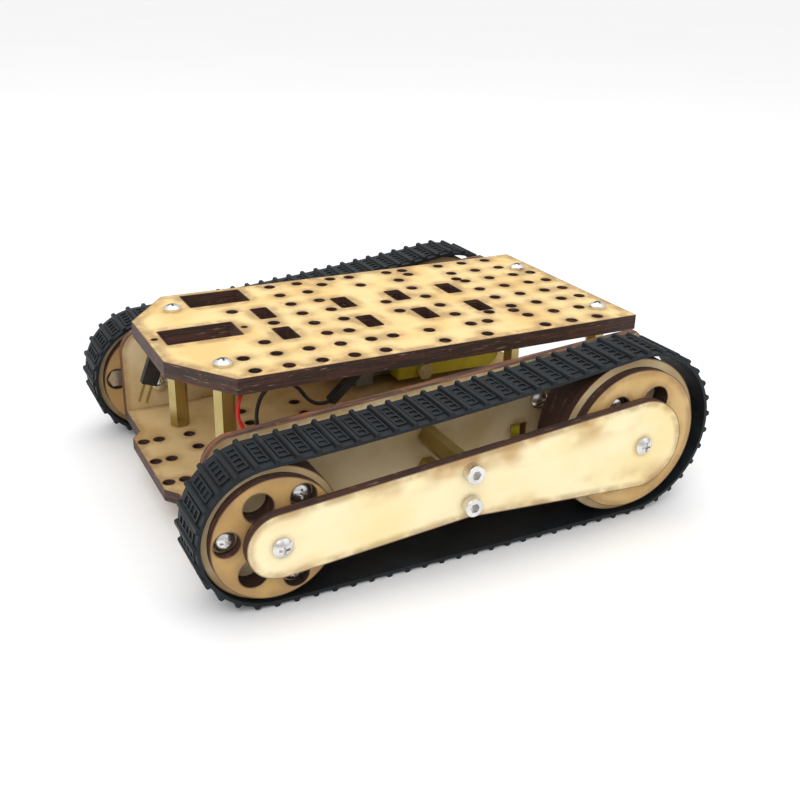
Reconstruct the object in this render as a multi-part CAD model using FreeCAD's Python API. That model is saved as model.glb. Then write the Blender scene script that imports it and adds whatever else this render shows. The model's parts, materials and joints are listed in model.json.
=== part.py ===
"""Tracked robot chassis cut from plywood sheet, with two gear motors and rubber tracks.

Frame: X across (+X is the vehicle's left side), Y along (the front faces -Y), Z up.
The origin is on the ground under the middle of the bounding box.  Millimetres.
"""
import FreeCAD, Part
import math
import os
from FreeCAD import Vector, Placement, Rotation

# ------------------------------------------------------------------ driving dimensions
SHEET = 3.0                # plywood of the side plates, arms and wheel discs
DECK_SHEET = 4.8           # nominal 5 mm plywood of the deck
FLOOR_SHEET = 3.6          # nominal 4 mm plywood of the floor
HOLE_PITCH = 10.0          # the deck's hole grid
DECK_STANDOFF = 35.0       # brass spacer between floor and deck
ARM_STANDOFF = 22.0        # brass spacer between side plate and outer arm

WHEELBASE = 113.5
FRONT_DRUM_R = 19.2        # plywood drum that carries the track
REAR_DRUM_R = 24.6
FRONT_COVER_R = 17.4       # smaller outer and inner discs of each wheel
REAR_COVER_R = 22.1
DRUM_LAYERS = 4            # discs between the covers

BELT_GAP = 0.3             # between drum and belt
BELT_THICK = 0.95
LUG_HIGH = 0.95            # transverse lugs on the outside of the belt
LUG_LONG = 1.7
LUG_PITCH = 5.5
BELT_SLACK = 3.0           # the belt stands off the back of the rear drum
BELT_LIFT = 0.3            # the rear arc is this much larger, so the sagging run clears the drum
BELT_SAG_R = 1400.0        # radius of the sagging upper run
BELT_INNER_X = 50.3
BELT_OUTER_X = 67.3

PLATE_X = 44.5             # inner face of each side plate
DECK_X = -2.7              # the deck sits a little to the right of the tracks' middle
FLOOR_X = -3.0             # and so does the floor's nose and hole pattern
DECK_HALF_WIDE = 39.0
DECK_LONG = 149.3
DECK_NOSE = 12.8           # deck's front edge ahead of the front axle
NOSE_HALF_WIDE = 18.5
CHAMFER_LONG = 14.6
FLOOR_NOSE = 12.2          # floor's front edge at the side plates, ahead of the front axle
FLOOR_STEP = 3.2           # extra length of the floor's nose

GRID_BACK = 8.3            # first hole column behind the front axle
SHAFT_D = 5.4              # gear motor's output shaft
M3 = 3.0

# ------------------------------------------------------------------ worked-out levels
TREAD = BELT_GAP + BELT_THICK + LUG_HIGH
FRONT_TIP_R = FRONT_DRUM_R + TREAD
REAR_TIP_R = REAR_DRUM_R + TREAD
TRACK_LONG = FRONT_TIP_R + WHEELBASE + REAR_TIP_R + BELT_SLACK + BELT_LIFT
FRONT_Y = FRONT_TIP_R - TRACK_LONG / 2
REAR_Y = FRONT_Y + WHEELBASE
FRONT_Z = FRONT_TIP_R
REAR_Z = REAR_TIP_R

DECK_TOP = 52.9
DECK_BOTTOM = DECK_TOP - DECK_SHEET
FLOOR_TOP = DECK_BOTTOM - DECK_STANDOFF
FLOOR_BOTTOM = FLOOR_TOP - FLOOR_SHEET
GRID_Y = FRONT_Y + GRID_BACK
DECK_FRONT = FRONT_Y - DECK_NOSE
DECK_REAR = DECK_FRONT + DECK_LONG
FLOOR_FRONT = FRONT_Y - FLOOR_NOSE

PLATE_OUT_X = PLATE_X + SHEET
ARM_X = PLATE_OUT_X + ARM_STANDOFF
ARM_OUT_X = ARM_X + SHEET
COVER_IN_X = BELT_INNER_X  # inner face of the wheel
DRUM_X = COVER_IN_X + SHEET
COVER_OUT_X = DRUM_X + DRUM_LAYERS * SHEET
WHEEL_OUT_X = COVER_OUT_X + SHEET

DECK_POSTS = (
    (-26.7, FRONT_Y + 1.5), (24.8, FRONT_Y + 1.5),
    (-23.4, FRONT_Y + 129.3), (25.2, FRONT_Y + 129.3),
)
WAIST_Y = FRONT_Y + 54.6   # the arm's two middle standoffs
WAIST_Z = (20.9, 30.9)
SIDES = (("left", 1), ("right", -1))


# ------------------------------------------------------------------ shape helpers
def x_cylinder(radius, x0, x1, y, z):
    """Cylinder along X from x0 to x1."""
    low = min(x0, x1)
    return Part.makeCylinder(radius, abs(x1 - x0), Vector(low, y, z), Vector(1, 0, 0))


def z_cylinder(radius, x, y, z0, z1):
    """Cylinder along Z from z0 to z1."""
    return Part.makeCylinder(radius, z1 - z0, Vector(x, y, z0), Vector(0, 0, 1))


def box(x0, x1, y0, y1, z0, z1):
    """Box between two corners."""
    return Part.makeBox(x1 - x0, y1 - y0, z1 - z0, Vector(x0, y0, z0))


def side_sheet(face, side, x0, x1):
    """Sheet cut to an outline drawn in the YZ plane, between x0 and x1 on one side."""
    start = min(side * x0, side * x1)
    moved = face.copy()
    moved.translate(Vector(start, 0, 0))
    return moved.extrude(Vector(abs(x1 - x0), 0, 0))


def hex_prism(across_flats, length):
    """Hexagonal prism along Z from the origin."""
    corner = across_flats / math.sqrt(3)
    points = []
    for step in range(7):
        angle = math.radians(60 * step + 30)
        points.append(Vector(corner * math.cos(angle), corner * math.sin(angle), 0))
    return Part.Face(Part.makePolygon(points)).extrude(Vector(0, 0, length))


def along(shape, start, direction):
    """Places a shape drawn along +Z at a point, pointing in a direction."""
    placed = shape.copy()
    placed.Placement = Placement(start, Rotation(Vector(0, 0, 1), direction))
    return placed


def standoff(length, across_flats=5.5):
    """Female-female brass spacer with a short thread hole in each end."""
    body = hex_prism(across_flats, length)
    bore = Part.makeCylinder(M3 / 2, length)
    return body.cut(bore)


def pan_screw(shank, head_d=5.6, head_h=2.1):
    """Cross-recessed pan head screw; the head's underside is at the origin, shank down."""
    dome_r = (head_d * head_d / 4 + head_h * head_h) / (2 * head_h) + 1.2
    head = Part.makeCylinder(head_d / 2, head_h)
    dome = Part.makeSphere(dome_r, Vector(0, 0, head_h - dome_r))
    head = head.common(dome)
    for angle in (0, 90):
        slot = Part.makeBox(3.0, 0.7, 1.2, Vector(-1.5, -0.35, head_h - 1.2))
        slot.rotate(Vector(0, 0, 0), Vector(0, 0, 1), angle)
        head = head.cut(slot)
    stem = Part.makeCylinder(M3 / 2 - 0.02, shank, Vector(0, 0, -shank))
    return head.fuse(stem).removeSplitter()


def cap_screw(shank):
    """Socket cap screw with a hexagon socket; the head's underside is at the origin."""
    head = Part.makeCylinder(2.75, 3.0)
    rim = [edge for edge in head.Edges if abs(edge.BoundBox.ZMin - 3.0) < 0.01 and edge.Length > 10]
    head = head.makeFillet(0.35, rim)
    socket = hex_prism(2.5, 2.0)
    socket.translate(Vector(0, 0, 1.4))
    stem = Part.makeCylinder(M3 / 2 - 0.02, shank, Vector(0, 0, -shank))
    return head.cut(socket).fuse(stem).removeSplitter()


def hex_nut(thick=2.4):
    """M3 nut along +Z from the origin."""
    return hex_prism(5.5, thick).cut(Part.makeCylinder(M3 / 2, thick))


def washer(outer_r, thick, inner_r=1.6):
    """Flat ring along +Z from the origin."""
    return Part.makeCylinder(outer_r, thick).cut(Part.makeCylinder(inner_r, thick))


def rounded_slot(x, y, size_x, size_y, z0, z1, radius=0.8):
    """Rectangular cutter with rounded corners, centred on a point of a plate."""
    cutter = box(x - size_x / 2, x + size_x / 2, y - size_y / 2, y + size_y / 2, z0, z1)
    corners = [edge for edge in cutter.Edges if abs(edge.BoundBox.ZLength - (z1 - z0)) < 0.01]
    return cutter.makeFillet(radius, corners)


def export(name, shape):
    """Writes one named piece, or several alike, to its own STEP file."""
    if isinstance(shape, list):
        shape = Part.makeCompound(shape) if len(shape) > 1 else shape[0]
    shape.exportStep("parts/" + name + ".step")


# ------------------------------------------------------------------ deck
def grid_point(column, row):
    """Deck place of a grid hole: columns run backwards, rows from the left edge."""
    return DECK_X + (3.5 - row) * HOLE_PITCH, GRID_Y + column * HOLE_PITCH


def deck_plate():
    """Top plate: chamfered nose, grid of round holes, cable slots and two servo cut-outs."""
    outline = [
        (-NOSE_HALF_WIDE, DECK_FRONT),
        (NOSE_HALF_WIDE, DECK_FRONT),
        (DECK_HALF_WIDE, DECK_FRONT + CHAMFER_LONG),
        (DECK_HALF_WIDE, DECK_REAR),
        (-DECK_HALF_WIDE, DECK_REAR),
        (-DECK_HALF_WIDE, DECK_FRONT + CHAMFER_LONG),
    ]
    points = [Vector(DECK_X + x, y, DECK_BOTTOM) for x, y in outline]
    plate = Part.Face(Part.makePolygon(points + points[:1])).extrude(Vector(0, 0, DECK_SHEET))
    low, high = DECK_BOTTOM - 1, DECK_TOP + 1

    holes = []
    all_rows = range(8)
    full_columns = (3, 7.45, 9.57, 10.57, 11.57)
    for column in full_columns:
        holes += [(column, row) for row in all_rows]
    holes += [(0, 0), (0, 1), (1, 0), (1, 1), (1, 2), (1, 5), (2, 0), (2, 1)]
    holes += [(4, row) for row in (0, 1, 3, 4, 5, 6, 7)]
    holes += [(5.97, row) for row in (0, 1, 3, 4, 6, 7)]
    holes += [(12.31, row) for row in (2, 3, 4, 5)]
    holes += [(1.85, 3.5), (3.71, 1.95), (4.76, 6.57), (5.27, 7.06), (4.73, 1.0)]
    holes += [(8.08, 7.0), (8.07, 6.49), (8.06, 1.0), (9.40, 1.58), (9.40, 5.33), (8.57, 1.75)]
    cutters = []
    for column, row in holes:
        x, y = grid_point(column, row)
        cutters.append(z_cylinder(1.8, x, y, low, high))
    for column in (1.87, 4.65, 6.63, 8.60):
        for row in (2.5, 4.5):
            x, y = grid_point(column, row)
            cutters.append(rounded_slot(x, y, 10.8, 5.5, low, high))
    x, y = grid_point(-0.49, 3.5)
    cutters.append(rounded_slot(x, y, 12.6, 23.2, low, high, 0.5))
    for offset in (-13.9, 13.8):
        cutters.append(z_cylinder(1.0, x, y + offset, low, high))
    x, y = grid_point(0.915, 6.54)
    cutters.append(rounded_slot(x, y, 13.0, 20.0, low, high, 0.5))
    for x, y in DECK_POSTS:
        cutters.append(z_cylinder(M3 / 2, x, y, low, high))
    return plate.cut(cutters)


# ------------------------------------------------------------------ floor and side plates
TAB_LONG = 12.0
TAB_Y = (FRONT_Y + 20.0, FRONT_Y + 64.0, FRONT_Y + 126.0)


def floor_plate():
    """Bottom plate: stepped nose, grid of holes, and tabs that pass through the side plates."""
    step_x0, step_x1 = 23.3, 19.0
    front, rear = FLOOR_FRONT, DECK_REAR
    nose = front - FLOOR_STEP
    outline = [
        (-PLATE_X, front), (FLOOR_X - step_x0, front), (FLOOR_X - step_x1, nose), (FLOOR_X + step_x1, nose),
        (FLOOR_X + step_x0, front), (PLATE_X, front), (PLATE_X, rear), (-PLATE_X, rear),
    ]
    points = [Vector(x, y, FLOOR_BOTTOM) for x, y in outline]
    plate = Part.Face(Part.makePolygon(points + points[:1])).extrude(Vector(0, 0, FLOOR_SHEET))
    for y in TAB_Y:
        tab = box(-PLATE_OUT_X, PLATE_OUT_X, y - TAB_LONG / 2, y + TAB_LONG / 2, FLOOR_BOTTOM, FLOOR_TOP)
        plate = plate.fuse(tab)
    plate = plate.removeSplitter()
    cutters = []
    first = FRONT_Y - 12.9
    spots = [(x, first + dy) for x in (-15, 0, 15) for dy in (0, 5)]
    spots += [(-15, first + 15), (-5, first + 15)]
    for y in (FRONT_Y + 23.0, FRONT_Y + 42.7, FRONT_Y + 82.5):
        spots += [(x, y) for x in (-25, -15, 15, 25) if y < FRONT_Y + 50 or abs(x) < 20]
    for x, y in spots:
        cutters.append(z_cylinder(1.8, FLOOR_X + x, y, FLOOR_BOTTOM - 1, FLOOR_TOP + 1))
    for x, y in DECK_POSTS:
        cutters.append(z_cylinder(M3 / 2, x, y, FLOOR_BOTTOM - 1, FLOOR_TOP + 1))
    return plate.cut(cutters)


PLATE_REAR = FRONT_Y + 134.0
PLATE_WINDOW_Y = FRONT_Y + 86.1
PLATE_SLOPE = 0.077
PLATE_EDGE_Z = DECK_TOP - 10.7     # the sloping top edge's height at the front axle
MOTOR_HOLE_BACK = 20.9             # gearbox screw holes ahead of the shaft
MOTOR_HOLE_APART = 17.5


def plate_top(y):
    """Height of a side plate's sloping top edge."""
    return PLATE_EDGE_Z + PLATE_SLOPE * (y - FRONT_Y)


def side_plate(side):
    """Vertical plate with a rounded front shoulder and a top edge that rises to the rear."""
    front = FLOOR_FRONT
    shoulder = 8.5
    top_y = front + 7.0
    points = [
        Vector(0, front, FLOOR_BOTTOM),
        Vector(0, PLATE_REAR, FLOOR_BOTTOM),
        Vector(0, PLATE_REAR, plate_top(PLATE_REAR) - 6),
        Vector(0, PLATE_REAR - 6, plate_top(PLATE_REAR - 6)),
        Vector(0, top_y, plate_top(top_y)),
    ]
    start = Vector(0, front, plate_top(top_y) - shoulder)
    middle = Vector(0, front + 1.9, plate_top(top_y) - 3.3)
    edges = [Part.LineSegment(a, b).toShape() for a, b in zip(points, points[1:])]
    edges.append(Part.Arc(points[-1], middle, start).toShape())
    edges.append(Part.LineSegment(start, points[0]).toShape())
    plate = side_sheet(Part.Face(Part.Wire(edges)), side, PLATE_X, PLATE_OUT_X)
    x0, x1 = sorted((side * (PLATE_X - 1), side * (PLATE_OUT_X + 1)))
    cutters = []
    for y in TAB_Y:
        half = TAB_LONG / 2
        cutters.append(box(x0, x1, y - half, y + half, FLOOR_BOTTOM - 1, FLOOR_TOP))
    cutters.append(x_cylinder(M3 / 2, x0, x1, FRONT_Y, FRONT_Z))
    for z in WAIST_Z:
        cutters.append(x_cylinder(M3 / 2, x0, x1, WAIST_Y, z))
    cutters.append(x_cylinder(SHAFT_D / 2 + 1.0, x0, x1, REAR_Y, REAR_Z))
    for z in motor_hole_heights():
        cutters.append(x_cylinder(M3 / 2, x0, x1, REAR_Y - MOTOR_HOLE_BACK, z))
    cutters.append(box(x0, x1, PLATE_WINDOW_Y - 2.6, PLATE_WINDOW_Y + 2.6, REAR_Z - 4.6, REAR_Z + 1.6))
    return plate.cut(cutters)


def motor_hole_heights():
    """Heights of a gear motor's two screw holes."""
    return REAR_Z - MOTOR_HOLE_APART / 2, REAR_Z + MOTOR_HOLE_APART / 2


# ------------------------------------------------------------------ outer arms
ARM_FRONT_R = 9.3
ARM_REAR_R = 14.0
ARM_WAIST = 15.0


def outer_tangent(c0, r0, c1, r1, sign):
    """Touch points of the common outer tangent of two circles in the YZ plane."""
    dy, dz = c1[0] - c0[0], c1[1] - c0[1]
    gap = math.hypot(dy, dz)
    heading = math.atan2(dz, dy)
    normal = heading + sign * math.acos((r0 - r1) / gap)
    ny, nz = math.cos(normal), math.sin(normal)
    return (c0[0] + r0 * ny, c0[1] + r0 * nz), (c1[0] + r1 * ny, c1[1] + r1 * nz)


def flat(point):
    """Point of the YZ plane as a vector."""
    return Vector(0, point[0], point[1])


def outer_arm(side):
    """Arm outside the track: round ends on the two axles, straight top edge, waisted bottom."""
    front, rear = (FRONT_Y, FRONT_Z), (REAR_Y, REAR_Z)
    top_front, top_rear = outer_tangent(front, ARM_FRONT_R, rear, ARM_REAR_R, 1)
    waist = (WAIST_Y, WAIST_Z[0] - 4.3)
    low_front = outer_tangent(front, ARM_FRONT_R, waist, 0.0, -1)[0]
    low_rear = outer_tangent(waist, 0.0, rear, ARM_REAR_R, -1)[1]
    edges = [
        Part.LineSegment(flat(top_front), flat(top_rear)).toShape(),
        Part.Arc(flat(top_rear), flat((REAR_Y + ARM_REAR_R, REAR_Z)), flat(low_rear)).toShape(),
        Part.LineSegment(flat(low_rear), flat(waist)).toShape(),
        Part.LineSegment(flat(waist), flat(low_front)).toShape(),
        Part.Arc(flat(low_front), flat((FRONT_Y - ARM_FRONT_R, FRONT_Z)), flat(top_front)).toShape(),
    ]
    arm = side_sheet(Part.Face(Part.Wire(edges)), side, ARM_X, ARM_OUT_X)
    x0, x1 = sorted((side * (ARM_X - 1), side * (ARM_OUT_X + 1)))
    cutters = [x_cylinder(M3 / 2, x0, x1, FRONT_Y, FRONT_Z), x_cylinder(M3 / 2, x0, x1, REAR_Y, REAR_Z)]
    for z in WAIST_Z:
        cutters.append(x_cylinder(M3 / 2, x0, x1, WAIST_Y, z))
    return arm.cut(cutters)


# ------------------------------------------------------------------ wheels
SCREW_RING = 13.1          # wheel screws from the axle
FRONT_WINDOW_RING = 10.8   # lightening holes from the axle
REAR_WINDOW_RING = 13.3
FRONT_WINDOW_R = 4.1
REAR_WINDOW_R = 4.5
HEAD_HOLE_R = 3.6          # the covers clear the wheel screws' heads and nuts
FRONT_TURN = 54.0          # angle of the first wheel screw
REAR_TURN = 0.0
SLEEVE_R = 3.0             # brass sleeve that the front wheels turn on
FIT = 0.06                 # running fit, on the radius
HUB_R = 4.6                # plastic hub pressed into the rear wheels
HUB_BORE_X = 57.0          # the motor shaft ends here inside the hub


def ring_points(y, z, radius, turn):
    """Three places around an axle, 120 degrees apart."""
    places = []
    for step in range(3):
        angle = math.radians(turn + 120 * step)
        places.append((y + radius * math.cos(angle), z + radius * math.sin(angle)))
    return places


def wheel_disc(radius, x0, x1, y, z, bore, turn, window_ring, window_r, screw_r, has_windows):
    """One plywood disc of a wheel, with its bore, three screw holes and perhaps three windows."""
    disc = x_cylinder(radius, x0, x1, y, z)
    cutters = [x_cylinder(bore, x0, x1, y, z)]
    for py, pz in ring_points(y, z, SCREW_RING, turn):
        cutters.append(x_cylinder(screw_r, x0, x1, py, pz))
    if has_windows:
        for py, pz in ring_points(y, z, window_ring, turn + 60):
            cutters.append(x_cylinder(window_r, x0, x1, py, pz))
    return disc.cut(cutters)


def wheel(end, label, side):
    """All discs and fasteners of one wheel."""
    is_front = end == "front"
    y, z = (FRONT_Y, FRONT_Z) if is_front else (REAR_Y, REAR_Z)
    cover_r = FRONT_COVER_R if is_front else REAR_COVER_R
    drum_r = FRONT_DRUM_R if is_front else REAR_DRUM_R
    turn = FRONT_TURN if is_front else REAR_TURN
    window_ring = FRONT_WINDOW_RING if is_front else REAR_WINDOW_RING
    window_r = FRONT_WINDOW_R if is_front else REAR_WINDOW_R
    bore = SLEEVE_R + FIT if is_front else HUB_R
    layout = (y, z, bore, turn, window_ring, window_r)

    def disc(radius, x0, screw_r, has_windows):
        return wheel_disc(radius, side * x0, side * (x0 + SHEET), *layout, screw_r, has_windows)

    prefix = end + "_wheel_"
    covers = [disc(cover_r, COVER_IN_X, HEAD_HOLE_R, False), disc(cover_r, COVER_OUT_X, HEAD_HOLE_R, True)]
    export(prefix + "covers_" + label, covers)
    layers = []
    for layer in range(DRUM_LAYERS):
        layers.append(disc(drum_r, DRUM_X + layer * SHEET, M3 / 2, layer == DRUM_LAYERS - 1))
    export(prefix + "drum_" + label, layers)
    screws, nuts = [], []
    for py, pz in ring_points(y, z, SCREW_RING, turn):
        outward = Vector(side, 0, 0)
        screws.append(along(pan_screw(14.5), Vector(side * COVER_OUT_X, py, pz), outward))
        nuts.append(along(hex_nut(), Vector(side * DRUM_X, py, pz), outward * -1))
    export(prefix + "screws_" + label, screws)
    export(prefix + "nuts_" + label, nuts)


def d_shaft(length, radius=SHAFT_D / 2, flats=3.7):
    """Motor shaft with two flats, along +Z from the origin."""
    return Part.makeCylinder(radius, length).common(box(-radius, radius, -flats / 2, flats / 2, 0, length))


def rear_hub(side):
    """Hub that grips the motor shaft inside and turns on the arm's screw outside."""
    hub = x_cylinder(HUB_R, side * (COVER_IN_X - 1.5), side * (WHEEL_OUT_X + 0.3), REAR_Y, REAR_Z)
    socket = along(d_shaft(HUB_BORE_X - COVER_IN_X + 2.5),
                   Vector(side * (COVER_IN_X - 2.5), REAR_Y, REAR_Z), Vector(side, 0, 0))
    pivot = x_cylinder(M3 / 2 + FIT, side * (HUB_BORE_X + 1.5), side * (WHEEL_OUT_X + 2), REAR_Y, REAR_Z)
    return hub.cut([socket, pivot])


GEARBOX_DEEP = 18.8        # along the shaft
GEARBOX_HIGH = 22.5
GEARBOX_FRONT = 31.0       # ahead of the shaft
GEARBOX_BACK = 11.2        # behind the shaft
BODY_X = PLATE_X - GEARBOX_DEEP


def motor_shaft(side):
    """Output shaft of one gear motor: round in the gearbox, two flats outside it."""
    round_part = x_cylinder(SHAFT_D / 2, side * (BODY_X + 3), side * (PLATE_X + 1), REAR_Y, REAR_Z)
    flat_part = along(d_shaft(HUB_BORE_X - PLATE_X - 1), Vector(side * (PLATE_X + 1), REAR_Y, REAR_Z),
                      Vector(side, 0, 0))
    return round_part.fuse(flat_part)


# ------------------------------------------------------------------ gear motors
def gearbox(side):
    """Two-part plastic gearbox shell with a mounting ear behind and a bore for the shaft."""
    y0, y1 = REAR_Y - GEARBOX_FRONT, REAR_Y + GEARBOX_BACK
    z0, z1 = REAR_Z - GEARBOX_HIGH / 2, REAR_Z + GEARBOX_HIGH / 2
    x0, x1 = sorted((side * BODY_X, side * PLATE_X))
    shell = box(x0, x1, y0, y1, z0, z1)
    back_edges = []
    for edge in shell.Edges:
        if abs(edge.BoundBox.YMin - y1) < 0.01 and edge.BoundBox.YLength < 0.01 and edge.BoundBox.XLength > 1:
            back_edges.append(edge)
    shell = shell.makeFillet(5.0, back_edges)
    ear_x = side * (BODY_X + GEARBOX_DEEP / 2)
    ear = box(ear_x - 1.3, ear_x + 1.3, y1 - 1, y1 + 5.0, REAR_Z - 3.6, REAR_Z + 3.6)
    ear = ear.cut(x_cylinder(1.5, ear_x - 5, ear_x + 5, y1 + 2.4, REAR_Z))
    seam_x = side * (BODY_X + 9.4)
    cutters = [x_cylinder(SHAFT_D / 2 + FIT, side * (BODY_X + 2.6), side * (PLATE_X + 1), REAR_Y, REAR_Z)]
    for z in motor_hole_heights():
        cutters.append(x_cylinder(M3 / 2, x0 - 1, x1 + 1, REAR_Y - MOTOR_HOLE_BACK, z))
    groove_outer = box(seam_x - 0.3, seam_x + 0.3, y0 - 1, y1 + 1, z0 - 1, z1 + 1)
    groove_inner = box(seam_x - 0.3, seam_x + 0.3, y0 + 0.4, y1 - 0.4, z0 + 0.4, z1 - 0.4)
    cutters.append(groove_outer.cut(groove_inner))
    return shell.fuse(ear).cut(cutters)


CAN_R = 10.0
CAN_FLAT = 15.4
CAN_FRONT = 52.0           # the can's far end ahead of the shaft
TAG_OFFSET = 7.0           # solder tags above and below the motor's axis
TAG_LONG = 4.8


def motor_can(side):
    """Round steel can with two flats."""
    x = side * (BODY_X + GEARBOX_DEEP / 2)
    y0, y1 = REAR_Y - CAN_FRONT, REAR_Y - GEARBOX_FRONT
    can = Part.makeCylinder(CAN_R, y1 - y0, Vector(x, y0, REAR_Z), Vector(0, 1, 0))
    return can.common(box(x - CAN_FLAT / 2, x + CAN_FLAT / 2, y0, y1, REAR_Z - 12, REAR_Z + 12))


def motor_end_cap(side):
    """Plastic end cap with a bearing boss and two solder tags."""
    x = side * (BODY_X + GEARBOX_DEEP / 2)
    y1 = REAR_Y - CAN_FRONT
    cap = Part.makeCylinder(CAN_R - 0.4, 2.2, Vector(x, y1 - 2.2, REAR_Z), Vector(0, 1, 0))
    cap = cap.common(box(x - 7.3, x + 7.3, y1 - 3, y1, REAR_Z - 12, REAR_Z + 12))
    boss = Part.makeCylinder(2.5, 1.6, Vector(x, y1 - 3.8, REAR_Z), Vector(0, 1, 0))
    cap = cap.fuse(boss)
    for offset in (-TAG_OFFSET, TAG_OFFSET):
        cap = cap.fuse(box(x - 0.9, x + 0.9, y1 - TAG_LONG, y1 - 2.0, REAR_Z + offset - 0.3, REAR_Z + offset + 0.3))
    return cap.removeSplitter()


def motor_strap(side):
    """Strap that clips round the can and hooks on the gearbox's sides."""
    x = side * (BODY_X + GEARBOX_DEEP / 2)
    y0, y1 = REAR_Y - CAN_FRONT + 5.0, REAR_Y - GEARBOX_FRONT
    half_x, half_z = CAN_FLAT / 2, CAN_R
    outer = box(x - half_x - 1.2, x + half_x + 1.2, y0, y0 + 6.0, REAR_Z - half_z - 1.0, REAR_Z + half_z + 1.0)
    inner = box(x - half_x, x + half_x, y0 - 1, y0 + 7.0, REAR_Z - half_z, REAR_Z + half_z)
    strap = outer.cut(inner)
    for sign in (-1, 1):
        z = REAR_Z + sign * (half_z + 0.5)
        strap = strap.fuse(box(x - 2.5, x + 2.5, y0, y1, z - 0.5, z + 0.5))
    return strap.removeSplitter()


# ------------------------------------------------------------------ tracks
class BeltLoop:
    """The track's closed line: two wheel arcs, the ground run and the sagging upper run."""

    def __init__(self):
        self.front = (FRONT_Y, FRONT_Z)
        self.rear = (REAR_Y + BELT_SLACK, REAR_Z + BELT_LIFT)
        self.r_front = FRONT_DRUM_R + BELT_GAP
        self.r_rear = REAR_DRUM_R + BELT_GAP + BELT_LIFT
        far_front = BELT_SAG_R + self.r_front
        far_rear = BELT_SAG_R + self.r_rear
        dy, dz = self.rear[0] - self.front[0], self.rear[1] - self.front[1]
        gap = math.hypot(dy, dz)
        reach = (far_front ** 2 - far_rear ** 2 + gap ** 2) / (2 * gap)
        rise = math.sqrt(far_front ** 2 - reach ** 2)
        uy, uz = dy / gap, dz / gap
        self.sag = (self.front[0] + reach * uy - rise * uz, self.front[1] + reach * uz + rise * uy)
        self.leave = math.atan2(self.sag[1] - self.front[1], self.sag[0] - self.front[0])
        self.meet = math.atan2(self.sag[1] - self.rear[1], self.sag[0] - self.rear[0])

    def outline(self, offset):
        """Closed wire at a distance outside the belt's inner face."""
        def spot(centre, radius, angle):
            return flat((centre[0] + radius * math.cos(angle), centre[1] + radius * math.sin(angle)))
        r_front, r_rear, r_sag = self.r_front + offset, self.r_rear + offset, BELT_SAG_R - offset
        bottom, top_front, top_rear = -math.pi / 2, self.leave, self.meet
        back_front = (top_front + bottom + 2 * math.pi) / 2
        middle_rear = (bottom + top_rear) / 2
        middle_sag = (self.leave + self.meet) / 2 + math.pi
        a = spot(self.front, r_front, top_front)
        b = spot(self.front, r_front, bottom)
        c = spot(self.rear, r_rear, bottom)
        d = spot(self.rear, r_rear, top_rear)
        edges = [
            Part.Arc(a, spot(self.front, r_front, back_front), b).toShape(),
            Part.LineSegment(b, c).toShape(),
            Part.Arc(c, spot(self.rear, r_rear, middle_rear), d).toShape(),
            Part.Arc(d, spot(self.sag, r_sag, middle_sag), a).toShape(),
        ]
        return Part.Wire(edges)

    def frames(self, offset, pitch):
        """Evenly spaced places round the loop: position and outward direction."""
        r_front, r_rear, r_sag = self.r_front + offset, self.r_rear + offset, BELT_SAG_R - offset
        front_turn = math.pi * 1.5 - self.leave
        rear_turn = self.meet + math.pi / 2
        sag_turn = self.meet - self.leave
        lengths = [r_front * front_turn, self.rear[0] - self.front[0], r_rear * rear_turn, r_sag * abs(sag_turn)]
        count = round(sum(lengths) / pitch)
        places = []
        for index in range(count):
            s = (index + 0.5) * sum(lengths) / count
            part = 0
            while s > lengths[part]:
                s -= lengths[part]
                part += 1
            if part == 0:
                angle = self.leave + s / r_front
                centre, radius, sign = self.front, r_front, 1
            elif part == 1:
                places.append((self.front[0] + s, self.front[1] - r_front, 0.0, -1.0))
                continue
            elif part == 2:
                angle = -math.pi / 2 + s / r_rear
                centre, radius, sign = self.rear, r_rear, 1
            else:
                angle = self.meet + math.pi - math.copysign(s / r_sag, sag_turn)
                centre, radius, sign = self.sag, r_sag, -1
            ny, nz = math.cos(angle), math.sin(angle)
            places.append((centre[0] + radius * ny, centre[1] + radius * nz, sign * ny, sign * nz))
        return places


def track(side):
    """Rubber belt with a lug across it at every pitch."""
    loop = BeltLoop()
    ring = Part.Face(loop.outline(BELT_THICK)).cut(Part.Face(loop.outline(0.0))).Faces[0]
    belt = side_sheet(ring, side, BELT_INNER_X, BELT_OUTER_X)
    sunk = 0.3
    x0 = min(side * BELT_INNER_X, side * BELT_OUTER_X)
    lugs = []
    for y, z, ny, nz in loop.frames(BELT_THICK, LUG_PITCH):
        ty, tz = -nz, ny
        half, narrow = LUG_LONG / 2, LUG_LONG / 2 - 0.35
        corners = [(-half, -sunk), (half, -sunk), (half, 0.3), (narrow, LUG_HIGH), (-narrow, LUG_HIGH), (-half, 0.3)]
        points = [Vector(x0, y + t * ty + n * ny, z + t * tz + n * nz) for t, n in corners]
        face = Part.Face(Part.makePolygon(points + points[:1]))
        lugs.append(face.extrude(Vector(BELT_OUTER_X - BELT_INNER_X, 0, 0)))
    return belt.fuse(lugs)


# ------------------------------------------------------------------ motor leads
LEAD_D = 1.2
WAY_WIDE = 2.54            # one way of a pin housing
PLUG_LONG = 14.0
PIN_WIDE = 0.64
PIN_LONG = 6.5
TAG_Y = REAR_Y - CAN_FRONT - TAG_LONG
TAG_X = BODY_X + GEARBOX_DEEP / 2

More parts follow.
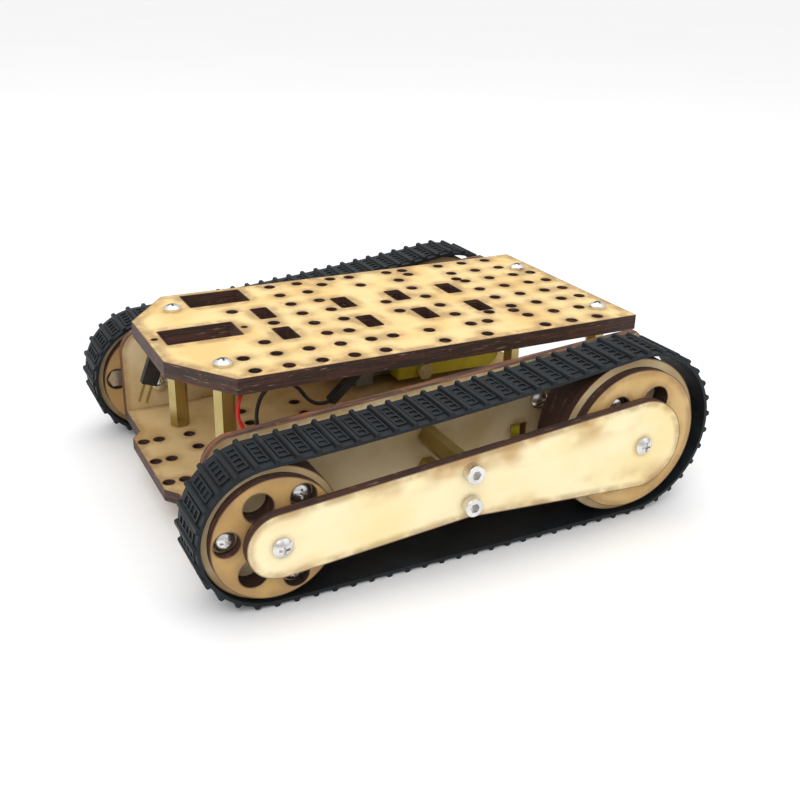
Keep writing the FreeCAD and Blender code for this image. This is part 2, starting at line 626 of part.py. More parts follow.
# Lead routes from the solder tag to the tail of the plug.
LEAD_ROUTES = {
    "red_left": [
        (TAG_X, TAG_Y, REAR_Z + TAG_OFFSET), (34.6, -12.0, 33.2), (32.4, -25.0, 30.0), (30.6, -39.0, 27.2),
        (29.9, -51.0, 29.0), (29.5, -57.4, 36.0), (29.0, -57.2, 43.4), (24.8, -52.6, 46.0),
        (20.4, -45.4, 45.2), (17.6, -38.4, 44.8), (16.0, -33.0, 44.7)],
    "black_left": [
        (TAG_X, TAG_Y, REAR_Z - TAG_OFFSET), (34.2, -12.5, 18.6), (31.6, -26.5, 17.4), (28.6, -40.0, 20.6),
        (27.4, -50.2, 28.0), (27.2, -51.8, 38.0), (27.0, -48.0, 45.6), (26.8, -39.4, 45.6),
        (26.6, -33.4, 35.8), (25.5, -27.6, 36.6)],
    "red_right": [
        (-TAG_X, TAG_Y, REAR_Z + TAG_OFFSET), (-34.6, -13.0, 34.8), (-33.6, -25.0, 33.6), (-33.6, -36.5, 36.2),
        (-33.4, -46.0, 41.2), (-32.6, -53.6, 43.4), (-31.0, -59.6, 43.9), (-30.7, -62.1, 40.2)],
    "black_right": [
        (-TAG_X, TAG_Y, REAR_Z - TAG_OFFSET), (-34.4, -14.0, 18.4), (-32.4, -28.0, 19.6), (-30.6, -40.5, 26.0),
        (-30.4, -48.2, 36.0), (-30.6, -53.4, 44.6), (-30.7, -62.4, 46.6), (-30.7, -64.5, 41.0)],
}
# Plug name: ways, middle of its tail, direction from tail to pins, direction across the ways.
PLUGS = {
    "plug_red_left": (1, (16.0, -33.0, 44.7), (-0.28, 0.96, 0.0), (1, 0, 0)),
    "plug_black_left": (1, (25.5, -27.6, 36.6), (-0.30, 0.82, 0.48), (1, 0, 0)),
    "plug_right": (2, (-30.7, -63.3, 40.6), (0.0, -0.35, -0.94), (0, 1, 0)),
}


def cord_path(name, route):
    """Straight runs joined by tangent arcs, as a wire; reports its length and tightest bend."""
    points = [Vector(*spot) for spot in route]
    edges, radii = [], []
    here = points[0]
    for before, corner, after in zip(points, points[1:], points[2:]):
        into, out = (corner - before).normalize(), (after - corner).normalize()
        half_turn = into.getAngle(out) / 2
        trim = 0.45 * min((corner - before).Length, (after - corner).Length)
        radius = trim / math.tan(half_turn)
        inward = (out - into).normalize()
        middle = corner + inward * (radius / math.cos(half_turn) - radius)
        start, end = corner - into * trim, corner + out * trim
        edges.append(Part.LineSegment(here, start).toShape())
        edges.append(Part.Arc(start, middle, end).toShape())
        radii.append(radius)
        here = end
    edges.append(Part.LineSegment(here, points[-1]).toShape())
    path = Part.Wire(edges)
    print(name, "length", round(path.Length, 1), "radii", [round(radius, 1) for radius in radii])
    return path


def lead(name, route):
    """Round insulated wire along a route."""
    path = cord_path(name, route)
    first = Vector(*route[1]) - Vector(*route[0])
    ring = Part.Wire(Part.makeCircle(LEAD_D / 2, Vector(*route[0]), first))
    tube = path.makePipeShell([ring], True, False)
    section = math.pi * LEAD_D ** 2 / 4
    print(name, "volume ratio", round(tube.Volume / (section * path.Length), 3), tube.isValid())
    return tube


def plug(ways, tail, direction, across):
    """Flat housing with a pin for each way, from the leads' ends onwards."""
    half, pin, wide = WAY_WIDE / 2, PIN_WIDE / 2, WAY_WIDE * ways / 2
    housing = box(-wide, wide, -half, half, 0, PLUG_LONG)
    for way in range(ways):
        x = (way - (ways - 1) / 2) * WAY_WIDE
        housing = housing.fuse(box(x - pin, x + pin, -pin, pin, PLUG_LONG, PLUG_LONG + PIN_LONG))
    placed = housing.copy()
    turn = Rotation(Vector(*across), Vector(0, 0, 0), Vector(*direction), "ZXY")
    placed.Placement = Placement(Vector(*tail), turn)
    return placed


# ------------------------------------------------------------------ build everything
def build_frame():
    """Deck, floor, side plates, arms and the spacers and screws that hold them together."""
    export("deck_plate", deck_plate())
    export("floor_plate", floor_plate())
    for label, side in SIDES:
        export("side_plate_" + label, side_plate(side))
        export("outer_arm_" + label, outer_arm(side))
    up, down = Vector(0, 0, 1), Vector(0, 0, -1)
    spacers, top_screws, bottom_screws = [], [], []
    for x, y in DECK_POSTS:
        spacers.append(along(standoff(DECK_STANDOFF), Vector(x, y, FLOOR_TOP), up))
        top_screws.append(along(pan_screw(10.0), Vector(x, y, DECK_TOP), up))
        bottom_screws.append(along(pan_screw(9.0), Vector(x, y, FLOOR_BOTTOM), down))
    export("deck_standoffs", spacers)
    export("deck_screws", top_screws)
    export("floor_screws", bottom_screws)

    arm_spacers, cap_screws, inner_screws = [], [], []
    sleeves, axle_screws, pivot_screws, spacers_in, washers_out = [], [], [], [], []
    for _, side in SIDES:
        out, inward = Vector(side, 0, 0), Vector(-side, 0, 0)
        for z in WAIST_Z:
            arm_spacers.append(along(standoff(ARM_STANDOFF), Vector(side * PLATE_OUT_X, WAIST_Y, z), out))
            cap_screws.append(along(cap_screw(8.0), Vector(side * ARM_OUT_X, WAIST_Y, z), out))
            inner_screws.append(along(pan_screw(8.0), Vector(side * PLATE_X, WAIST_Y, z), inward))
        sleeve = x_cylinder(SLEEVE_R, side * PLATE_OUT_X, side * ARM_X, FRONT_Y, FRONT_Z)
        sleeves.append(sleeve.cut(x_cylinder(M3 / 2, side * PLATE_OUT_X, side * ARM_X, FRONT_Y, FRONT_Z)))
        axle_screws.append(along(pan_screw(8.0), Vector(side * ARM_OUT_X, FRONT_Y, FRONT_Z), out))
        axle_screws.append(along(pan_screw(8.0), Vector(side * PLATE_X, FRONT_Y, FRONT_Z), inward))
        pivot_screws.append(along(pan_screw(12.0), Vector(side * ARM_OUT_X, REAR_Y, REAR_Z), out))
        gap_in = COVER_IN_X - PLATE_OUT_X - 0.3
        spacers_in.append(along(washer(4.5, gap_in, SLEEVE_R), Vector(side * PLATE_OUT_X, FRONT_Y, FRONT_Z), out))
        gap_out = ARM_X - WHEEL_OUT_X - 0.3
        washers_out.append(along(washer(4.5, gap_out, SLEEVE_R), Vector(side * ARM_X, FRONT_Y, FRONT_Z), inward))
    export("arm_standoffs", arm_spacers)
    export("arm_cap_screws", cap_screws)
    export("arm_inner_screws", inner_screws)
    export("front_axle_sleeves", sleeves)
    export("front_axle_screws", axle_screws)
    export("rear_pivot_screws", pivot_screws)
    export("front_wheel_spacers", spacers_in)
    export("front_wheel_washers", washers_out)


def build_drive():
    """Gear motors and the pieces that turn with the rear wheels."""
    cans, caps, straps, screws, nuts = [], [], [], [], []
    for label, side in SIDES:
        export("gearbox_" + label, gearbox(side))
        export("rear_hub_" + label, rear_hub(side))
        export("motor_shaft_" + label, motor_shaft(side))
        cans.append(motor_can(side))
        caps.append(motor_end_cap(side))
        straps.append(motor_strap(side))
        for z in motor_hole_heights():
            y = REAR_Y - MOTOR_HOLE_BACK
            screws.append(along(pan_screw(24.5), Vector(side * PLATE_OUT_X, y, z), Vector(side, 0, 0)))
            nuts.append(along(hex_nut(), Vector(side * BODY_X, y, z), Vector(-side, 0, 0)))
    export("motor_cans", cans)
    export("motor_end_caps", caps)
    export("motor_straps", straps)
    export("motor_screws", screws)
    export("motor_nuts", nuts)


def build_leads():
    """Two leads from each motor, each with its plug."""
    for name, route in LEAD_ROUTES.items():
        export("lead_" + name, lead(name, route))
    for name, facts in PLUGS.items():
        export(name, plug(*facts))


os.makedirs("parts", exist_ok=True)
build_frame()
build_drive()
build_leads()
for label, side in SIDES:
    export("track_" + label, track(side))
    for end in ("front", "rear"):
        wheel(end, label, side)
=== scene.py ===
"""Looks of the tracked plywood robot chassis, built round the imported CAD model."""
import bpy
import bmesh
import json
import math
from mathutils import Matrix, Vector


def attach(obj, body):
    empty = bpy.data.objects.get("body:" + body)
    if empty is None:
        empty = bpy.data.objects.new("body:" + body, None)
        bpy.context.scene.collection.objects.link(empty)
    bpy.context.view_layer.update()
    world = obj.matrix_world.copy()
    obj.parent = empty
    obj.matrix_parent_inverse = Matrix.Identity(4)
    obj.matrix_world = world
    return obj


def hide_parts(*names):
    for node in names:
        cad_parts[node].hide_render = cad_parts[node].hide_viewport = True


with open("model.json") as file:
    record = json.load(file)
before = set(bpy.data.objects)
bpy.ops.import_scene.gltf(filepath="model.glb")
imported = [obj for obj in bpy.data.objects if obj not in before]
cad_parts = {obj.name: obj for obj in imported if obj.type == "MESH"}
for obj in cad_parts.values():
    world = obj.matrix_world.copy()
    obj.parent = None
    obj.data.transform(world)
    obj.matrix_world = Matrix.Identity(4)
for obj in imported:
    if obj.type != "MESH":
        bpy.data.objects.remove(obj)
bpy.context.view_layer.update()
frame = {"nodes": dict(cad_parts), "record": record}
nodes = frame["nodes"]
MM = 0.001


# ------------------------------------------------------------------ material helpers
class Graph:
    """A material's node tree with short calls for the nodes used here."""

    def __init__(self, name):
        self.material = bpy.data.materials.new(name)
        self.material.use_nodes = True
        self.tree = self.material.node_tree
        self.shader = self.tree.nodes["Principled BSDF"]
        self.places = self.tree.nodes.new("ShaderNodeTexCoord")

    def link(self, output, target):
        self.tree.links.new(output, target)
        return target

    def noise(self, scale, stretch=(1, 1, 1), detail=4.0, roughness=0.55, shift=(0, 0, 0)):
        """Noise in the object's own metres; scale is features per metre."""
        place = self.tree.nodes.new("ShaderNodeMapping")
        place.inputs["Scale"].default_value = [scale * k for k in stretch]
        place.inputs["Location"].default_value = shift
        self.link(self.places.outputs["Object"], place.inputs["Vector"])
        noise = self.tree.nodes.new("ShaderNodeTexNoise")
        noise.inputs["Scale"].default_value = 1.0
        noise.inputs["Detail"].default_value = detail
        noise.inputs["Roughness"].default_value = roughness
        self.link(place.outputs["Vector"], noise.inputs["Vector"])
        return noise.outputs["Fac"]

    def span(self, value, low, high, to_low=0.0, to_high=1.0):
        """Maps low..high to to_low..to_high, smoothly and clamped."""
        node = self.tree.nodes.new("ShaderNodeMapRange")
        node.interpolation_type = "SMOOTHSTEP"
        for key, number in zip(("From Min", "From Max", "To Min", "To Max"), (low, high, to_low, to_high)):
            node.inputs[key].default_value = number
        self.link(value, node.inputs["Value"])
        return node.outputs["Result"]

    def math(self, operation, first, second=None):
        node = self.tree.nodes.new("ShaderNodeMath")
        node.operation = operation
        for slot, value in zip(node.inputs, (first, second)):
            if isinstance(value, (int, float)):
                slot.default_value = value
            elif value is not None:
                self.link(value, slot)
        return node.outputs[0]

    def mix(self, amount, first, second):
        """Blend of two colours, each a tuple or a socket."""
        node = self.tree.nodes.new("ShaderNodeMix")
        node.data_type = "RGBA"
        self.link(amount, node.inputs["Factor"])
        for slot, value in ((node.inputs[6], first), (node.inputs[7], second)):
            if isinstance(value, tuple):
                slot.default_value = (*value, 1.0)
            else:
                self.link(value, slot)
        return node.outputs[2]

    def axis_share(self, axis):
        """How squarely the surface faces along one of the object's axes, 0 to 1."""
        split = self.tree.nodes.new("ShaderNodeSeparateXYZ")
        self.link(self.places.outputs["Normal"], split.inputs[0])
        return self.math("ABSOLUTE", split.outputs[axis])

    def near_cut(self, reach):
        """1 at a cut edge, falling to 0 a short way in across the sheet's face."""
        inside = self.tree.nodes.new("ShaderNodeAmbientOcclusion")
        inside.inside = True
        inside.only_local = True
        inside.samples = 8
        inside.inputs["Distance"].default_value = reach
        return self.span(inside.outputs["AO"], 1.0, 0.76)

    def along_axes(self):
        """The object's own x, y and z in metres, as three sockets."""
        split = self.tree.nodes.new("ShaderNodeSeparateXYZ")
        self.link(self.places.outputs["Object"], split.inputs[0])
        return split.outputs

    def bump(self, height, strength, distance):
        node = self.tree.nodes.new("ShaderNodeBump")
        node.inputs["Strength"].default_value = strength
        node.inputs["Distance"].default_value = distance
        self.link(height, node.inputs["Height"])
        self.link(node.outputs["Normal"], self.shader.inputs["Normal"])

    def finish(self, colour, roughness, metallic=0.0):
        self.link(colour, self.shader.inputs["Base Color"])
        if isinstance(roughness, (int, float)):
            self.shader.inputs["Roughness"].default_value = roughness
        else:
            self.link(roughness, self.shader.inputs["Roughness"])
        self.shader.inputs["Metallic"].default_value = metallic
        return self.material


# ------------------------------------------------------------------ materials
CHAR = (0.030, 0.014, 0.010)
SINGED = (0.075, 0.026, 0.015)
ASH = (0.42, 0.30, 0.20)
SMOKE = (0.34, 0.205, 0.080)
SMEAR = (0.50, 0.30, 0.11)
DARK_SMOKE = (0.13, 0.062, 0.026)
ARM_MIDDLE_Y = -4.3 * MM
ARM_MIDDLE_Z = 23.9 * MM
ARM_RISE = 5.4 / 113.5
ARM_HALF_WAIST = 9.4 * MM
ARM_FLARE = 0.9            # growth of the half height with the square of the distance in metres


def arm_smears(g):
    """Soft brown smears that follow the long edges of the outer arms."""
    _, y, z = g.along_axes()
    along = g.math("SUBTRACT", y, ARM_MIDDLE_Y)
    middle = g.math("ADD", g.math("MULTIPLY", along, ARM_RISE), ARM_MIDDLE_Z)
    flare = g.math("MULTIPLY", g.math("MULTIPLY", along, along), ARM_FLARE)
    half = g.math("ADD", flare, ARM_HALF_WAIST)
    reach = g.math("DIVIDE", g.math("ABSOLUTE", g.math("SUBTRACT", z, middle)), half)
    cloud = g.noise(75, (1, 1, 1.4), 2.0, 0.45, (2.3, 5.1, 0.7))
    return g.math("MULTIPLY", g.span(reach, 0.30, 1.0), g.span(cloud, 0.38, 0.66))


def plywood(name, pale, warm, sheet_axis, grain_axis, smoke, reach, shift, edge_warmth=0.0, smears=None):
    """Laser-cut birch ply: grained face, smoke round every cut, charred layered edges.

    The axes are those across the sheet and along its grain. reach is how far the smoke comes in, in mm.
    shift moves the noise, so that no two materials repeat each other's marks.
    """
    g = Graph(name)
    stretch = [1.0, 1.0, 1.0]
    stretch[grain_axis] = 0.035
    grain = g.noise(1100, stretch, 5.0, 0.6, (shift, shift, 0))
    patches = g.noise(55, (1, 1, 1), 3.0, 0.5, (shift * 3, 0, shift))
    face = g.mix(g.span(patches, 0.38, 0.68), pale, warm)
    face = g.mix(g.span(grain, 0.56, 0.80, 0.0, 0.20), face, tuple(0.66 * c for c in warm))
    if smears:
        face = g.mix(g.math("MULTIPLY", smears(g), 0.90), face, SMEAR)
    streaks = g.noise(150, (1, 1, 1), 4.0, 0.6, (0, shift, shift))
    drift = g.span(streaks, 0.32, 0.58, 0.25, 1.0)
    wide = g.math("MULTIPLY", g.math("MULTIPLY", g.near_cut(reach * MM), drift), smoke)
    face = g.mix(wide, face, SMOKE)
    tight = g.math("MULTIPLY", g.near_cut(0.45 * MM), 0.80)
    face = g.mix(tight, face, DARK_SMOKE)

    layers = [60.0 / 1500.0] * 3
    layers[sheet_axis] = 1.0
    veneer = g.noise(1500, layers, 3.0, 0.6, (shift, 0, 0))
    dashes = [0.09] * 3
    dashes[sheet_axis] = 1.0
    flecks = g.noise(2100, dashes, 3.0, 0.65, (0, shift, 0))
    scorch = g.noise(260, (1, 1, 1), 4.0, 0.6, (0, 0, shift))
    lit = tuple(c + edge_warmth * w for c, w in zip(SINGED, (0.150, 0.052, 0.012)))
    edge = g.mix(g.span(veneer, 0.44, 0.62), CHAR, lit)
    edge = g.mix(g.span(scorch, 0.55, 0.80, 0.0, 0.6), edge, tuple(1.6 * c for c in lit))
    edge = g.mix(g.span(flecks, 0.61, 0.72, 0.0, 0.60), edge, ASH)
    on_face = g.span(g.axis_share(sheet_axis), 0.55, 0.85)
    g.bump(g.math("ADD", grain, g.math("MULTIPLY", veneer, 0.8)), 0.22, 0.00012)
    return g.finish(g.mix(on_face, edge, face), g.span(patches, 0.3, 0.7, 0.60, 0.74))


def rubber(name):
    """Moulded rubber, dusty on the high spots."""
    g = Graph(name)
    dust = g.noise(120, (1, 1, 1), 5.0, 0.6)
    fine = g.noise(1800, (1, 1, 1), 3.0, 0.6)
    colour = g.mix(g.span(dust, 0.42, 0.75), (0.0085, 0.0110, 0.0135), (0.017, 0.022, 0.026))
    g.bump(fine, 0.35, 0.00010)
    g.shader.inputs["Specular IOR Level"].default_value = 0.22
    return g.finish(colour, g.span(dust, 0.3, 0.7, 0.46, 0.62))


def metal(name, base, dull, low, high, brush=(1, 1, 1)):
    """Bare metal with fine machining lines and slight tarnish."""
    g = Graph(name)
    lines = g.noise(1500, brush, 2.0, 0.5)
    tarnish = g.noise(160, (1, 1, 1), 4.0, 0.55)
    colour = g.mix(g.span(tarnish, 0.40, 0.72), base, dull)
    g.bump(lines, 0.05, 0.00001)
    return g.finish(colour, g.span(tarnish, 0.3, 0.7, low, high), 1.0)


def plastic(name, base, worn, low, high):
    """Moulded plastic with a faint mottle."""
    g = Graph(name)
    mottle = g.noise(210, (1, 1, 1), 4.0, 0.55)
    grit = g.noise(2600, (1, 1, 1), 2.0, 0.5)
    g.bump(grit, 0.10, 0.00004)
    return g.finish(g.mix(g.span(mottle, 0.40, 0.72), base, worn), g.span(mottle, 0.3, 0.7, low, high))


PALE = (0.880, 0.650, 0.295)
WARM = (0.800, 0.535, 0.205)
MATERIALS = {
    "ply_deck": plywood("ply_deck", PALE, WARM, 2, 1, 0.80, 4.5, 0.0),
    # The body ply is darker than the deck ply partly as painted shade, for the side plates that stand in shade
    # between belts and arms; the rest is the ply's own tone.
    "ply_body": plywood("ply_body", (0.66, 0.52, 0.31), (0.54, 0.39, 0.19), 0, 1, 0.70, 2.8, 1.7, 0.9),
    # The arm ply is paler than the deck ply partly as painted light, for the near arm that faces the key light;
    # the rest is the ply's own tone.
    "ply_arm": plywood("ply_arm", (0.90, 0.78, 0.49), (0.87, 0.71, 0.37), 0, 1, 0.62, 2.8, 3.1, 0.0, arm_smears),
    "ply_wheel": plywood("ply_wheel", (0.64, 0.43, 0.18), (0.54, 0.33, 0.11), 0, 2, 0.80, 2.8, 5.3),
    "ply_charred": plywood("ply_charred", (0.60, 0.48, 0.28), (0.46, 0.33, 0.17), 0, 2, 0.45, 2.8, 7.9),
    "brass": metal("brass", (0.46, 0.37, 0.16), (0.42, 0.33, 0.13), 0.28, 0.36),
    "plated_steel": metal("plated_steel", (0.74, 0.73, 0.71), (0.62, 0.61, 0.60), 0.20, 0.30),
    "motor_steel": metal("motor_steel", (0.62, 0.62, 0.62), (0.46, 0.46, 0.46), 0.28, 0.45, (1, 0.05, 1)),
    "yellow_plastic": plastic("yellow_plastic", (0.58, 0.50, 0.028), (0.50, 0.42, 0.022), 0.30, 0.46),
    "white_plastic": plastic("white_plastic", (0.80, 0.79, 0.74), (0.70, 0.68, 0.62), 0.40, 0.55),
    "grey_plastic": plastic("grey_plastic", (0.20, 0.21, 0.21), (0.14, 0.15, 0.15), 0.40, 0.56),
    "track_rubber": rubber("track_rubber"),
    "red_lead": plastic("red_lead", (0.62, 0.014, 0.012), (0.50, 0.010, 0.012), 0.30, 0.45),
    "black_lead": plastic("black_lead", (0.010, 0.010, 0.011), (0.018, 0.018, 0.020), 0.32, 0.48),
    "black_plastic": plastic("black_plastic", (0.011, 0.011, 0.012), (0.020, 0.020, 0.022), 0.34, 0.50),
}
ORANGE_PLY = plywood("ply_wheel_front", (0.50, 0.32, 0.105), (0.38, 0.21, 0.062), 0, 2, 0.85, 2.8, 9.1)
FLOOR_PLY = plywood("ply_floor", (0.58, 0.42, 0.20), (0.46, 0.30, 0.11), 2, 1, 0.80, 3.2, 11.3)


def dress_nodes():
    """Gives every CAD node the material of its slot."""
    special = {
        "front_wheel_covers_left": ORANGE_PLY,
        "front_wheel_covers_right": ORANGE_PLY,
        "floor_plate": FLOOR_PLY,
    }
    for row in frame["record"]["subparts"]:
        node = nodes[row["node"]]
        material = special.get(row["node"], MATERIALS[row["material_slot"]])
        node.data.materials.clear()
        node.data.materials.append(material)


# ------------------------------------------------------------------ mesh helpers
def piece(name, mesh, material, body):
    """Links a new piece, with its material and body."""
    obj = bpy.data.objects.new(name, mesh)
    bpy.context.scene.collection.objects.link(obj)
    mesh.materials.append(material)
    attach(obj, body)
    return obj


def add_box(bm, centre, size, turn):
    """Adds a box to a bmesh, turned about its own centre."""
    place = Matrix.Translation(centre) @ turn.to_4x4() @ Matrix.Diagonal((*size, 1.0))
    bmesh.ops.create_cube(bm, size=1.0, matrix=place)


def to_mesh(bm, name):
    mesh = bpy.data.meshes.new(name)
    bm.to_mesh(mesh)
    bm.free()
    return mesh


# ------------------------------------------------------------------ track tread
FRONT_AXLE = (-61.1, 21.4)     # y and z of the belt's front arc
REAR_ARC = (55.4, 27.1)
FRONT_R = 19.5                 # inside of the belt on each arc
REAR_R = 25.2
SAG_R = 1400.0                 # the sagging upper run
BELT_THICK = 0.95
LUG_PITCH = 5.5
BELT_MIDDLE_X = 58.8
RUNG_GAP = 2.75                # between the rungs of a panel's ladder
RUNG_HIGH = 0.42
RUNG_WIDE = 0.75
RAIL_HALF = 1.30               # from the ladder's middle to a rail
RAIL_LONG = 11.7
RAIL_WIDE = 0.55
RAIL_OVER = 0.10               # the rails stand this far above the rungs
SUNK = 0.12                    # into the belt


def belt_places():
    """Middles of the panels between lugs on the belt's outer face, with outward directions."""
    dy, dz = REAR_ARC[0] - FRONT_AXLE[0], REAR_ARC[1] - FRONT_AXLE[1]
    gap = math.hypot(dy, dz)
    far_front, far_rear = SAG_R + FRONT_R, SAG_R + REAR_R
    reach = (far_front ** 2 - far_rear ** 2 + gap ** 2) / (2 * gap)
    rise = math.sqrt(far_front ** 2 - reach ** 2)
    sag = (FRONT_AXLE[0] + (reach * dy - rise * dz) / gap, FRONT_AXLE[1] + (reach * dz + rise * dy) / gap)
    leave = math.atan2(sag[1] - FRONT_AXLE[1], sag[0] - FRONT_AXLE[0])
    meet = math.atan2(sag[1] - REAR_ARC[1], sag[0] - REAR_ARC[0])
    front_r, rear_r, sag_r = FRONT_R + BELT_THICK, REAR_R + BELT_THICK, SAG_R - BELT_THICK
    lengths = [front_r * (1.5 * math.pi - leave), dy, rear_r * (meet + math.pi / 2), sag_r * abs(meet - leave)]
    count = round(sum(lengths) / LUG_PITCH)
    places = []
    for index in range(count):
        s = index * sum(lengths) / count
        part = 0
        while s > lengths[part]:
            s -= lengths[part]
            part += 1
        if part == 1:
            places.append((FRONT_AXLE[0] + s, FRONT_AXLE[1] - front_r, 0.0, -1.0))
            continue
        if part == 0:
            centre, radius, angle, sign = FRONT_AXLE, front_r, leave + s / front_r, 1
        elif part == 2:
            centre, radius, angle, sign = REAR_ARC, rear_r, s / rear_r - math.pi / 2, 1
        else:
            swept = math.copysign(s / sag_r, meet - leave)
            centre, radius, angle, sign = sag, sag_r, meet + math.pi - swept, -1
        ny, nz = math.cos(angle), math.sin(angle)
        places.append((centre[0] + radius * ny, centre[1] + radius * nz, sign * ny, sign * nz))
    return places


def tread(label, side):
    """A low ladder of two rails and five rungs on every panel of the belt."""
    bm = bmesh.new()
    for y, z, ny, nz in belt_places():
        out = Vector((0, ny, nz))
        run = Vector((0, -nz, ny))
        turn = Matrix((Vector((1, 0, 0)), run, out)).transposed()
        middle = Vector((side * BELT_MIDDLE_X, y, z)) + out * (RUNG_HIGH / 2 - SUNK)
        for sign in (-1, 1):
            size = (RAIL_LONG, RAIL_WIDE, RUNG_HIGH + 2 * SUNK)
            add_box(bm, (middle + run * sign * RAIL_HALF) * MM, [MM * v for v in size], turn)
        for step in range(-2, 3):
            size = (RUNG_WIDE, 2 * RAIL_HALF, RUNG_HIGH + 2 * SUNK - RAIL_OVER)
            spot = middle + Vector((step * RUNG_GAP, 0, 0))
            add_box(bm, spot * MM, [MM * v for v in size], turn)
    name = "tread_" + label
    piece(name, to_mesh(bm, name), MATERIALS["track_rubber"], "chassis")


# ------------------------------------------------------------------ leads
LEAD_ROUTES = {
    "red_left": [
        (35.1, -4.4, 33.8), (34.6, -12.0, 33.2), (32.4, -25.0, 30.0), (30.6, -39.0, 27.2),
        (29.9, -51.0, 29.0), (29.5, -57.4, 36.0), (29.0, -57.2, 43.4), (24.8, -52.6, 46.0),
        (20.4, -45.4, 45.2), (17.6, -38.4, 44.8), (16.0, -33.0, 44.7)],
    "black_left": [
        (35.1, -4.4, 19.8), (34.2, -12.5, 18.6), (31.6, -26.5, 17.4), (28.6, -40.0, 20.6),
        (27.4, -50.2, 28.0), (27.2, -51.8, 38.0), (27.0, -48.0, 45.6), (26.8, -39.4, 45.6),
        (26.6, -33.4, 35.8), (25.5, -27.6, 36.6)],
    "red_right": [
        (-35.1, -4.4, 33.8), (-34.6, -13.0, 34.8), (-33.6, -25.0, 33.6), (-33.6, -36.5, 36.2),
        (-33.4, -46.0, 41.2), (-32.6, -53.6, 43.4), (-31.0, -59.6, 43.9), (-30.7, -62.1, 40.2)],
    "black_right": [
        (-35.1, -4.4, 19.8), (-34.4, -14.0, 18.4), (-32.4, -28.0, 19.6), (-30.6, -40.5, 26.0),
        (-30.4, -48.2, 36.0), (-30.6, -53.4, 44.6), (-30.7, -62.4, 46.6), (-30.7, -64.5, 41.0)],
}
# Plug node, its tail, heading from tail to pins and the pin's place across the heading.
PLUGS = {
    "red_left": ("plug_red_left", (16.0, -33.0, 44.7), (-0.28, 0.96, 0.0), 0.0),
    "black_left": ("plug_black_left", (25.5, -27.6, 36.6), (-0.30, 0.82, 0.48), 0.0),
    "red_right": ("plug_right", (-30.7, -63.3, 40.6), (0.0, -0.35, -0.94), -1.27),
    "black_right": (None, (-30.7, -63.3, 40.6), (0.0, -0.35, -0.94), 1.27),
}
LEAD_D = 1.2
PLUG_LONG = 14.0
PIN_LONG = 6.5


def lead(name, route):
    """One insulated lead as a smooth curve, with its plug and pin."""
    curve = bpy.data.curves.new("lead_" + name, "CURVE")
    curve.dimensions = "3D"
    spline = curve.splines.new("NURBS")
    spline.points.add(len(route) - 1)
    for point, spot in zip(spline.points, route):
        point.co = (*[MM * value for value in spot], 1.0)
    spline.order_u = 3
    spline.use_endpoint_u = True
    spline.resolution_u = 12
    curve.bevel_depth = LEAD_D / 2 * MM
    curve.bevel_resolution = 4
    curve.use_fill_caps = True
    colour = name.split("_")[0]
    slot = colour + "_lead"
    obj = piece("cord_" + name, curve, MATERIALS[slot], "chassis")
    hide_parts("lead_" + name)
    plug_pieces(name)


def plug_pieces(name):
    """The lead's plug with a bright sleeve over its pin; the two right leads share a plug."""
    node, tail, heading, offset = PLUGS[name]
    heading = Vector(heading).normalized()
    across = heading.cross(Vector((1, 0, 0))).normalized()
    turn = Matrix((across, heading.cross(across), heading)).transposed()
    bm = bmesh.new()
    middle = Vector(tail) + across * offset + heading * (PLUG_LONG + PIN_LONG / 2 + 0.03)
    add_box(bm, middle * MM, (0.76 * MM, 0.76 * MM, PIN_LONG * MM), turn)
    pin = piece("pin_" + name, to_mesh(bm, "pin_" + name), MATERIALS["brass"], "chassis")
    return [nodes[node], pin] if node else [pin]


# ------------------------------------------------------------------ studio
def studio():
    """Pale floor, white surround and soft lights."""
    bpy.ops.mesh.primitive_plane_add(size=12.0, location=(0, 0, 0))
    floor = bpy.context.object
    floor.name = "studio_floor"
    g = Graph("studio_floor")
    g.finish(g.mix(g.span(g.noise(4, (1, 1, 1), 2.0), 0.3, 0.7), (0.93, 0.93, 0.935), (0.94, 0.94, 0.945)), 0.6)
    floor.data.materials.append(g.material)
    sky()
    lamps()
    bpy.context.scene.view_settings.view_transform = "Standard"


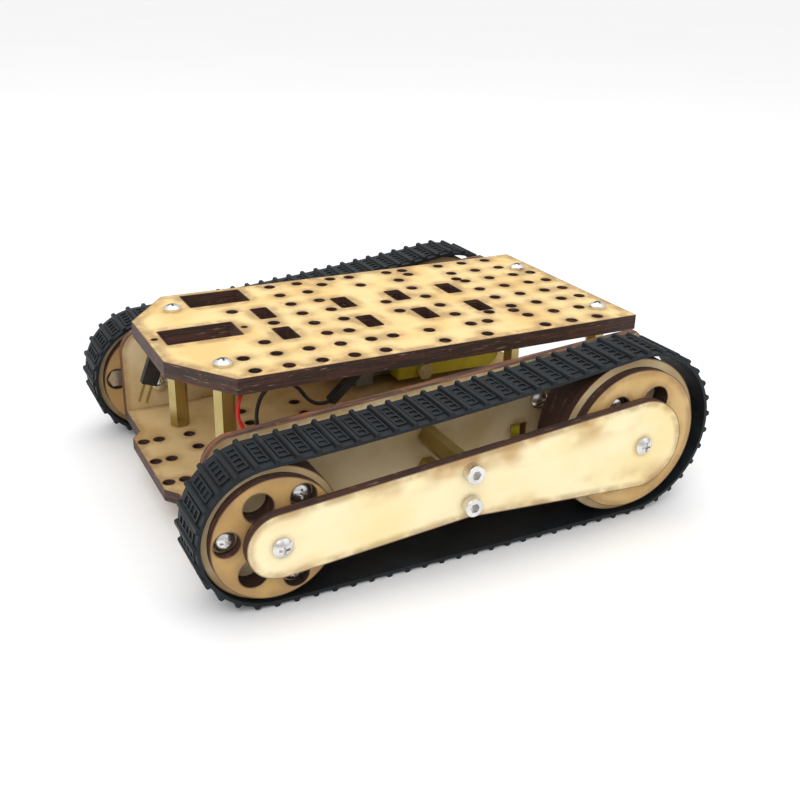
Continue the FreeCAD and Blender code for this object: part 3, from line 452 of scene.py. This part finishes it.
def sky():
    """White surround, dimmer towards the ground, so that metal shows its form."""
    world = bpy.data.worlds.new("studio")
    bpy.context.scene.world = world
    world.use_nodes = True
    tree = world.node_tree
    background = tree.nodes["Background"]
    places = tree.nodes.new("ShaderNodeTexCoord")
    split = tree.nodes.new("ShaderNodeSeparateXYZ")
    tree.links.new(places.outputs["Generated"], split.inputs[0])
    ramp = tree.nodes.new("ShaderNodeMapRange")
    for key, number in (("From Min", -0.1), ("From Max", 0.9), ("To Min", 0.36), ("To Max", 1.22)):
        ramp.inputs[key].default_value = number
    tree.links.new(split.outputs[2], ramp.inputs["Value"])
    seen = tree.nodes.new("ShaderNodeLightPath")
    level = tree.nodes.new("ShaderNodeMix")
    tree.links.new(seen.outputs["Is Camera Ray"], level.inputs["Factor"])
    tree.links.new(ramp.outputs["Result"], level.inputs["A"])
    level.inputs["B"].default_value = 1.2
    tree.links.new(level.outputs["Result"], background.inputs["Strength"])
    background.inputs["Color"].default_value = (1.0, 1.0, 1.0, 1.0)


def lamps():
    """Three large soft lights, all aimed at the middle of the object."""
    lights = (
        ("key", (0.60, -0.45, 0.70), 0.45, 2.6),
        ("fill", (0.70, 0.50, 0.35), 0.60, 0.5),
        ("top", (-0.20, 0.10, 0.95), 0.90, 1.5),
    )
    for name, place, size, power in lights:
        data = bpy.data.lights.new("light_" + name, "AREA")
        data.size = size
        data.energy = power
        lamp = bpy.data.objects.new("light_" + name, data)
        lamp.location = place
        lamp.rotation_euler = (Vector((0, 0, 0.02)) - Vector(place)).to_track_quat("-Z", "Y").to_euler()
        bpy.context.scene.collection.objects.link(lamp)


CAMERA_PLACE = Vector((283.1, -137.95, 159.6)) * MM
CAMERA_AZIMUTH = math.radians(62.583)
CAMERA_ELEVATION = math.radians(23.615)
CAMERA_ROLL = math.radians(1.328)
CAMERA_LENS = 46.37


def camera():
    """Camera at the product photograph's place, looking along its azimuth and elevation."""
    back = Vector((
        math.cos(CAMERA_ELEVATION) * math.sin(CAMERA_AZIMUTH),
        -math.cos(CAMERA_ELEVATION) * math.cos(CAMERA_AZIMUTH),
        math.sin(CAMERA_ELEVATION)))
    level = Vector((0, 0, 1)).cross(back).normalized()
    upright = back.cross(level)
    right = level * math.cos(CAMERA_ROLL) + upright * math.sin(CAMERA_ROLL)
    up = back.cross(right)
    data = bpy.data.cameras.new("camera")
    data.lens = CAMERA_LENS
    data.sensor_width = 36.0
    data.clip_start = 0.01
    obj = bpy.data.objects.new("camera", data)
    turn = Matrix((right, up, back)).transposed()
    obj.matrix_world = Matrix.Translation(CAMERA_PLACE) @ turn.to_4x4()
    bpy.context.scene.collection.objects.link(obj)
    bpy.context.scene.camera = obj


# ------------------------------------------------------------------ build
dress_nodes()
tread("left", 1)
tread("right", -1)
for lead_name, lead_route in LEAD_ROUTES.items():
    lead(lead_name, lead_route)
studio()
camera()

bpy.context.view_layer.update()
